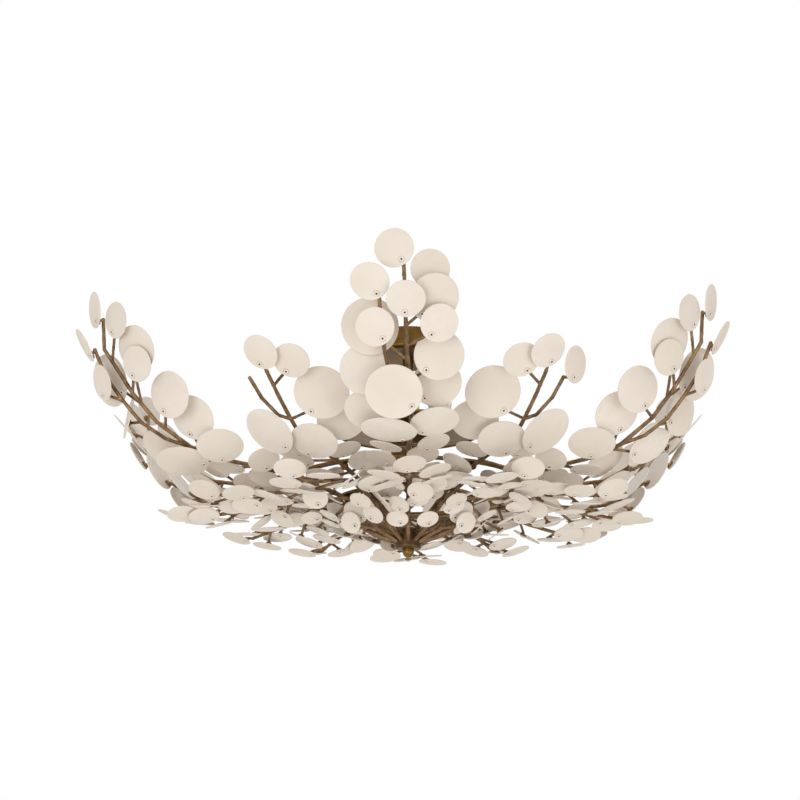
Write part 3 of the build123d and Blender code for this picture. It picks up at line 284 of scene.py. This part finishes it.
# Geometry trees
ATTRIBUTE = "GeometryNodeInputNamedAttribute"
STORE = "GeometryNodeStoreNamedAttribute"
NUMBER = "ShaderNodeMath"
VECTOR = "ShaderNodeVectorMath"


def new_tree(name, sizes):
    """A geometry tree with named inputs for its sizes and its material, and what they give."""
    tree = bpy.data.node_groups.new(name, "GeometryNodeTree")
    tree.interface.new_socket("Geometry", in_out="OUTPUT", socket_type="NodeSocketGeometry")
    tree.interface.new_socket("Geometry", in_out="INPUT", socket_type="NodeSocketGeometry")
    for label in sizes:
        kind = "NodeSocketInt" if label in ("Sides", "Seed") else "NodeSocketFloat"
        tree.interface.new_socket(label, in_out="INPUT", socket_type=kind)
    tree.interface.new_socket("Material", in_out="INPUT", socket_type="NodeSocketMaterial")
    return tree, add_node(tree, "NodeGroupInput").outputs


def instanced(tree, points, shape):
    """The shape at each point, turned the way it faces and as wide as its size, as real geometry."""
    size = add_node(tree, ATTRIBUTE, {"data_type": "FLOAT"}, Name="size")
    facing = add_node(tree, ATTRIBUTE, {"data_type": "FLOAT_VECTOR"}, Name="facing")
    width = add_node(tree, "ShaderNodeCombineXYZ", X=size, Y=size, Z=1.0)
    turn = add_node(tree, "FunctionNodeAlignRotationToVector", {"axis": "Z"}, Vector=facing)
    scattered = add_node(tree, "GeometryNodeInstanceOnPoints", Points=points, Instance=shape, Rotation=turn,
                         Scale=width)
    return add_node(tree, "GeometryNodeRealizeInstances", Geometry=scattered)


def smoothed(tree, shape, creases):
    """The shape shaded smooth, but for the edges that are creases."""
    soft = add_node(tree, "GeometryNodeSetShadeSmooth", {"domain": "FACE"}, n0=shape, Shade_Smooth=True)
    return add_node(tree, "GeometryNodeSetShadeSmooth", {"domain": "EDGE"}, n0=soft, Selection=creases,
                    Shade_Smooth=False)


def close_tree(tree, given, geometry):
    dressed = add_node(tree, "GeometryNodeSetMaterial", Geometry=geometry, Material=given["Material"])
    add_node(tree, "NodeGroupOutput", Geometry=dressed)
    return tree


def disc_tree():
    """A thin round plate at each point, its rim rounded, pressed into a shallow dish."""
    tree, given = new_tree("pressed_discs", ("Thickness", "Dish radius", "Rim rounding", "Sides", "Seed"))
    tone = add_node(tree, "FunctionNodeRandomValue", Seed=given["Seed"]).outputs[1]
    toned = add_node(tree, STORE, {"data_type": "FLOAT", "domain": "POINT"}, Geometry=given["Geometry"],
                     Name="tone", Value=tone)
    # A plate one unit wide, whose rim is every edge point of its two faces
    plate = add_node(tree, "GeometryNodeMeshCylinder", Vertices=given["Sides"], Side_Segments=2,
                     Fill_Segments=3, Radius=1.0, Depth=given["Thickness"])
    place = add_node(tree, "GeometryNodeInputPosition")
    plan = add_node(tree, VECTOR, {"operation": "MULTIPLY"}, n0=place, n1=(1, 1, 0))
    reach = add_node(tree, VECTOR, {"operation": "LENGTH"}, n0=plan).outputs["Value"]
    height = add_node(tree, "ShaderNodeSeparateXYZ", Vector=place).outputs["Z"]
    height = add_node(tree, NUMBER, {"operation": "ABSOLUTE"}, n0=height)
    skin = add_node(tree, NUMBER, {"operation": "MULTIPLY"}, n0=given["Thickness"], n1=0.4)
    outer = add_node(tree, NUMBER, {"operation": "GREATER_THAN"}, n0=reach, n1=0.9)
    on_face = add_node(tree, NUMBER, {"operation": "GREATER_THAN"}, n0=height, n1=skin)
    rim = add_node(tree, NUMBER, {"operation": "MULTIPLY"}, n0=outer, n1=on_face)
    inset = add_node(tree, NUMBER, {"operation": "MULTIPLY"}, n0=given["Rim rounding"], n1=-1.0)
    inwards = add_node(tree, VECTOR, {"operation": "SCALE"}, n0=plan, Scale=inset)
    plate = smoothed(tree, plate, rim)
    plate = add_node(tree, STORE, {"data_type": "FLOAT_VECTOR", "domain": "POINT"}, Geometry=plate,
                     Name="plan", Value=plan)
    plate = add_node(tree, "GeometryNodeSetPosition", Geometry=plate, Selection=rim, Offset=inwards)
    discs = instanced(tree, toned, plate)
    # The dish: each point sinks by half the square of its reach over the dish's radius
    size = add_node(tree, ATTRIBUTE, {"data_type": "FLOAT"}, Name="size")
    facing = add_node(tree, ATTRIBUTE, {"data_type": "FLOAT_VECTOR"}, Name="facing")
    kept_plan = add_node(tree, ATTRIBUTE, {"data_type": "FLOAT_VECTOR"}, Name="plan")
    reach = add_node(tree, VECTOR, {"operation": "LENGTH"}, n0=kept_plan).outputs["Value"]
    reach = add_node(tree, NUMBER, {"operation": "MULTIPLY"}, n0=reach, n1=size)
    square = add_node(tree, NUMBER, {"operation": "MULTIPLY"}, n0=reach, n1=reach)
    across = add_node(tree, NUMBER, {"operation": "MULTIPLY"}, n0=given["Dish radius"], n1=-2.0)
    half = add_node(tree, NUMBER, {"operation": "MULTIPLY"}, n0=given["Thickness"], n1=0.5)
    fall = add_node(tree, NUMBER, {"operation": "DIVIDE"}, n0=square, n1=across)
    fall = add_node(tree, NUMBER, {"operation": "SUBTRACT"}, n0=fall, n1=half)
    sunk = add_node(tree, VECTOR, {"operation": "SCALE"}, n0=facing, Scale=fall)
    return close_tree(tree, given, add_node(tree, "GeometryNodeSetPosition", Geometry=discs, Offset=sunk))


def head_tree():
    """A low turned head at each point, narrower at its top."""
    tree, given = new_tree("turned_heads", ("Radius", "Height", "Top share", "Lift", "Sides"))
    blank = add_node(tree, "GeometryNodeMeshCylinder", {"fill_type": "NGON"}, Vertices=given["Sides"],
                     Radius=given["Radius"], Depth=given["Height"])
    place = add_node(tree, "GeometryNodeInputPosition")
    height = add_node(tree, "ShaderNodeSeparateXYZ", Vector=place).outputs["Z"]
    top = add_node(tree, NUMBER, {"operation": "GREATER_THAN"}, n0=height, n1=0.0)
    taper = add_node(tree, "ShaderNodeCombineXYZ", X=given["Top share"], Y=given["Top share"], Z=1.0)
    narrow = add_node(tree, VECTOR, {"operation": "MULTIPLY"}, n0=place, n1=taper)
    blank = smoothed(tree, blank, top)
    blank = add_node(tree, "GeometryNodeSetPosition", Geometry=blank, Selection=top, Position=narrow)
    half = add_node(tree, NUMBER, {"operation": "MULTIPLY"}, n0=given["Height"], n1=0.5)
    rise = add_node(tree, NUMBER, {"operation": "ADD"}, n0=given["Lift"], n1=half)
    seat = add_node(tree, "ShaderNodeCombineXYZ", X=0.0, Y=0.0, Z=rise)
    blank = add_node(tree, "GeometryNodeSetPosition", Geometry=blank, Offset=seat)
    return close_tree(tree, given, instanced(tree, given["Geometry"], blank))


def plain_mesh(piece, name):
    """The piece's modifiers worked into a plain mesh, in a new object."""
    graph = bpy.context.evaluated_depsgraph_get()
    mesh = bpy.data.meshes.new_from_object(piece.evaluated_get(graph))
    bpy.data.objects.remove(piece)
    return put(mesh, name)


def grown(places, name, tree, finish, sizes):
    """A tree's shape at each place, which is a point, the way it faces and its size."""
    mesh = bpy.data.meshes.new(name)
    mesh.from_pydata([place for place, _, _ in places], [], [])
    facing = mesh.attributes.new("facing", "FLOAT_VECTOR", "POINT")
    facing.data.foreach_set("vector", np.ravel([way for _, way, _ in places]))
    size = mesh.attributes.new("size", "FLOAT", "POINT")
    size.data.foreach_set("value", [size for _, _, size in places])
    rough = put(mesh, name + "_points")
    growth = rough.modifiers.new("growth", "NODES")
    growth.node_group = tree
    sockets = {item.name: item.identifier for item in tree.interface.items_tree if item.in_out == "INPUT"}
    for label, value in sizes.items():
        growth[sockets[label]] = value
    growth[sockets["Material"]] = FINISHES[finish]
    bpy.context.view_layer.update()
    made = plain_mesh(rough, name)
    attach(made, "fixture")
    return made


# Discs and their screws
DISH_R = 230.0 * MM
DISC_THICK = 1.5 * MM
HEAD_R = 4.3 * MM
HEAD_H = 1.2 * MM
# The dark disc laid on each head's top is painted shade where the hex socket lies; this is its radius
SOCKET_SHADE_R = 1.6 * MM
CLEAR = 0.05 * MM
RIM_FROM = 0.98
MIDDLE_TO = 0.5
HEAD_FROM = 0.9
DISC_SIZES = {"Thickness": DISC_THICK, "Dish radius": DISH_R, "Rim rounding": 0.012, "Sides": 40}
HEAD_SIZES = {"Radius": HEAD_R, "Height": HEAD_H, "Top share": 0.78, "Lift": CLEAR, "Sides": 16}
SOCKET_SHADE_SIZES = {"Radius": SOCKET_SHADE_R, "Height": CLEAR, "Top share": 1.0, "Lift": HEAD_H + CLEAR, "Sides": 8}


def disc_place(piece):
    """The middle of a disc's outer face, the way it faces, and its radius."""
    centre, _, ways = spread_of(piece)
    facing = ways[0]
    heights, reaches = heights_and_reaches(piece, centre, facing)
    radius = reaches.max()
    rim = reaches > RIM_FROM * radius
    if heights[rim].mean() > heights[reaches < MIDDLE_TO * radius].mean():
        facing = -facing
        heights = -heights
    sag = DISH_R - math.sqrt(DISH_R**2 - radius**2)
    return centre + facing * (heights[rim].max() + sag), facing, radius


def screw_place(piece):
    """The seat of a screw's head, and the way the head faces."""
    centre, amounts, ways = spread_of(piece)
    axis = ways[0] if amounts[2] - amounts[1] < amounts[1] - amounts[0] else ways[2]
    heights, reaches = heights_and_reaches(piece, centre, axis)
    if heights[reaches > HEAD_FROM * reaches.max()].mean() < (heights.max() + heights.min()) / 2:
        axis = -axis
        heights = -heights
    return centre + axis * (heights.max() - HEAD_H), axis, 1.0


def discs():
    tree = disc_tree()
    for number, node in enumerate(sorted(n for n in nodes if n.endswith("_discs"))):
        places = [disc_place(piece) for piece in loose_pieces(node)]
        sizes = {**DISC_SIZES, "Seed": number}
        made = grown(places, node.replace("_discs", "_enamelled_discs"), tree, "ivory_enamel", sizes)
        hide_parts(node)


def screws():
    tree = head_tree()
    places = [screw_place(piece) for piece in loose_pieces("disc_screws")]
    heads = grown(places, "screw_heads", tree, "ivory_enamel", HEAD_SIZES)
    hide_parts("disc_screws")
    # A thin dark disc on each head: painted shade standing in for the shadow inside its hex socket
    grown(places, "screw_recesses", tree, "dark_bronze", SOCKET_SHADE_SIZES)


# Branches: rods melted together where they meet, as brazing leaves them
STEM_VOXEL = 1.0 * MM
STEM_SMOOTHING = 4
STEM_GROWTH = 0.9 * MM
BARK_SIZE = 7.0 * MM
BARK_DEPTH = 0.7 * MM
KNOT_SHARE = 1.12
SEAT_GAP = 0.05 * MM
SEAT_SLACK = 0.02 * MM
PLUG_LAP = 0.6 * MM
BALL_EVENNESS = 0.5
ROUNDNESS = 0.02
PLUG_SIDES = 16


def knot_of(piece):
    """The centre and radius of a piece that is a ball, or nothing."""
    centre, amounts, _ = spread_of(piece)
    reaches = np.linalg.norm(piece.reshape(-1, 3) - centre, axis=1)
    radius = float(reaches.mean())
    is_ball = amounts[0] > BALL_EVENNESS * amounts[2] and reaches.std() < ROUNDNESS * radius
    return (centre, radius) if is_ball else None


def seat_on(piece, centre, radius):
    """The way from a knot to a rod that is seated on it, and the rod's radius there, or nothing."""
    offsets = piece.reshape(-1, 3) - centre
    reaches = np.linalg.norm(offsets, axis=1)
    seated = offsets[np.abs(reaches - radius - SEAT_GAP) < SEAT_SLACK]
    if not len(seated):
        return None
    way = seated.mean(axis=0)
    way /= np.linalg.norm(way)
    return way, float(np.linalg.norm(seated - np.outer(seated @ way, way), axis=1).max())


def triangles_of(make, **sizes):
    """The triangles of one of bmesh's own forms, made once and then moved to each of its places."""
    net = bmesh.new()
    make(net, **sizes)
    bmesh.ops.triangulate(net, faces=net.faces)
    found = np.array([[v.co for v in face.verts] for face in net.faces])
    net.free()
    return found


UNIT_BALL = triangles_of(bmesh.ops.create_icosphere, subdivisions=3, radius=1.0)
UNIT_PLUG = triangles_of(bmesh.ops.create_cone, cap_ends=True, segments=PLUG_SIDES, radius1=1.0, radius2=1.0,
                         depth=1.0)


def plug(centre, way, radius, length):
    """A round bar that fills the gap between a rod's seat and the middle of its knot."""
    turn = np.array(Vector(way).to_track_quat("Z", "Y").to_matrix())
    return (UNIT_PLUG * (radius, radius, length)) @ turn.T + centre + way * length / 2


def brazed_branch(node, hoop_seats):
    """A branch whose knots are no thicker than the rods that meet there, unless a hoop lies on them."""
    pieces = [(piece, knot_of(piece)) for piece in loose_pieces(node)]
    rods = [piece for piece, knot in pieces if not knot]
    forms = list(rods)
    for centre, radius in [knot for _, knot in pieces if knot]:
        seats = [seat for seat in (seat_on(rod, centre, radius) for rod in rods) if seat]
        forms += [plug(centre, way, rim, radius + PLUG_LAP) for way, rim in seats]
        top = centre[2] + radius
        under_hoop = min(abs(top - seat) for seat in hoop_seats) < 2 * SEAT_GAP
        size = radius
        if seats and not under_hoop:
            size = KNOT_SHARE * max(rim for _, rim in seats)
        forms.append(UNIT_BALL * size + centre)
    corners = np.concatenate(forms).reshape(-1, 3)
    mesh = bpy.data.meshes.new(node)
    mesh.from_pydata(corners.tolist(), [], np.arange(len(corners)).reshape(-1, 3).tolist())
    rough = put(mesh, node + "_rough")
    melt = rough.modifiers.new("melt", "REMESH")
    melt.mode = "VOXEL"
    melt.voxel_size = STEM_VOXEL
    melt.use_smooth_shade = True
    soften = rough.modifiers.new("soften", "SMOOTH")
    soften.factor = 0.5
    soften.iterations = STEM_SMOOTHING
    bark = rough.modifiers.new("bark", "DISPLACE")
    bark.texture = bark_texture()
    bark.texture_coords = "LOCAL"
    bark.strength = BARK_DEPTH
    bark.mid_level = 0.5 - STEM_GROWTH / BARK_DEPTH
    bpy.context.view_layer.update()
    made = plain_mesh(rough, node.replace("_stems", "_brazed"))
    dress(made, "brown_bronze")
    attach(made, "fixture")
    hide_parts(node)


def bark_texture():
    """Lumps of the size that filing and brazing leave on a thin rod."""
    made = bpy.data.textures.get("bark") or bpy.data.textures.new("bark", "CLOUDS")
    made.noise_scale = BARK_SIZE
    made.noise_depth = 1
    return made


def branches():
    hoop_seats = [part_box(hoop)[0].z for hoop in ("upper_hoop", "lower_hoop")]
    for node in sorted(n for n in nodes if n.endswith("_stems")):
        brazed_branch(node, hoop_seats)


discs()
screws()
branches()


# Studio
BOWL_MIDDLE = Vector((0, 0, -0.25))
FLOOR_HEIGHT = -2.3
FLOOR_HALF = 6.0
SKY_STRENGTH = 0.76
# Each lamp's place, its width in metres and its power in watts
LAMPS = {
    "key": ((-1.4, -2.8, -0.7), 1.8, 24),
    "fill": ((2.0, -2.2, -1.5), 1.8, 18),
    "top": ((0.2, 0.4, 2.2), 1.8, 7),
    "back": ((0.6, 2.6, 0.4), 1.6, 10),
}


def aimed(name, data, place, target):
    """An object in the scene that looks from its place at a target."""
    made = bpy.data.objects.new(name, data)
    made.location = place
    made.rotation_euler = (target - Vector(place)).to_track_quat("-Z", "Y").to_euler()
    bpy.context.scene.collection.objects.link(made)
    return made


def sky():
    """Soft light all round, and plain white where the camera, a reflection or a see-through ray meets it."""
    world = bpy.data.worlds.new("studio")
    bpy.context.scene.world = world
    world.use_nodes = True
    tree = world.node_tree
    tree.nodes.clear()
    path = add_node(tree, "ShaderNodeLightPath").outputs
    seen = add_node(tree, NUMBER, {"operation": "MAXIMUM"}, n0=path["Is Camera Ray"],
                    n1=path["Is Glossy Ray"])
    seen = add_node(tree, NUMBER, {"operation": "MAXIMUM"}, n0=seen, n1=path["Is Transmission Ray"])
    soft = add_node(tree, "ShaderNodeBackground", Color=linear(SKY_WARM), Strength=SKY_STRENGTH)
    white = add_node(tree, "ShaderNodeBackground", Color=linear(STUDIO_WHITE), Strength=1.0)
    both = add_node(tree, "ShaderNodeMixShader", n0=seen, n1=soft, n2=white)
    add_node(tree, "ShaderNodeOutputWorld", Surface=both)


def lamps():
    for name, (place, width, watts) in LAMPS.items():
        lamp = bpy.data.lights.new(name, "AREA")
        lamp.shape = "DISK"
        lamp.size = width
        lamp.energy = watts
        aimed(name, lamp, place, BOWL_MIDDLE)


def floor():
    net = bmesh.new()
    bmesh.ops.create_grid(net, x_segments=1, y_segments=1, size=FLOOR_HALF)
    mesh = bpy.data.meshes.new("floor")
    net.to_mesh(mesh)
    net.free()
    mesh.transform(Matrix.Translation((0, 0, FLOOR_HEIGHT)))
    mesh.materials.append(plain_coat("matt_studio_floor", FLOOR_PALE, FLOOR_WHITE, 400, 0.8, 0.0, 0.1))
    put(mesh, "floor")


# Camera: below the bowl and looking up at it
CAMERA_PLACE = Vector((-0.0128, -3.045, -0.975))
CAMERA_TARGET = Vector((-0.0128, 0.0, -0.1016))
LENS_MM = 89.1
SENSOR_MM = 36.0


def camera():
    lens = bpy.data.cameras.new("camera")
    lens.lens = LENS_MM
    lens.sensor_width = SENSOR_MM
    bpy.context.scene.camera = aimed("camera", lens, CAMERA_PLACE, CAMERA_TARGET)


sky()
lamps()
floor()
camera()
bpy.context.scene.view_settings.view_transform = "Standard"
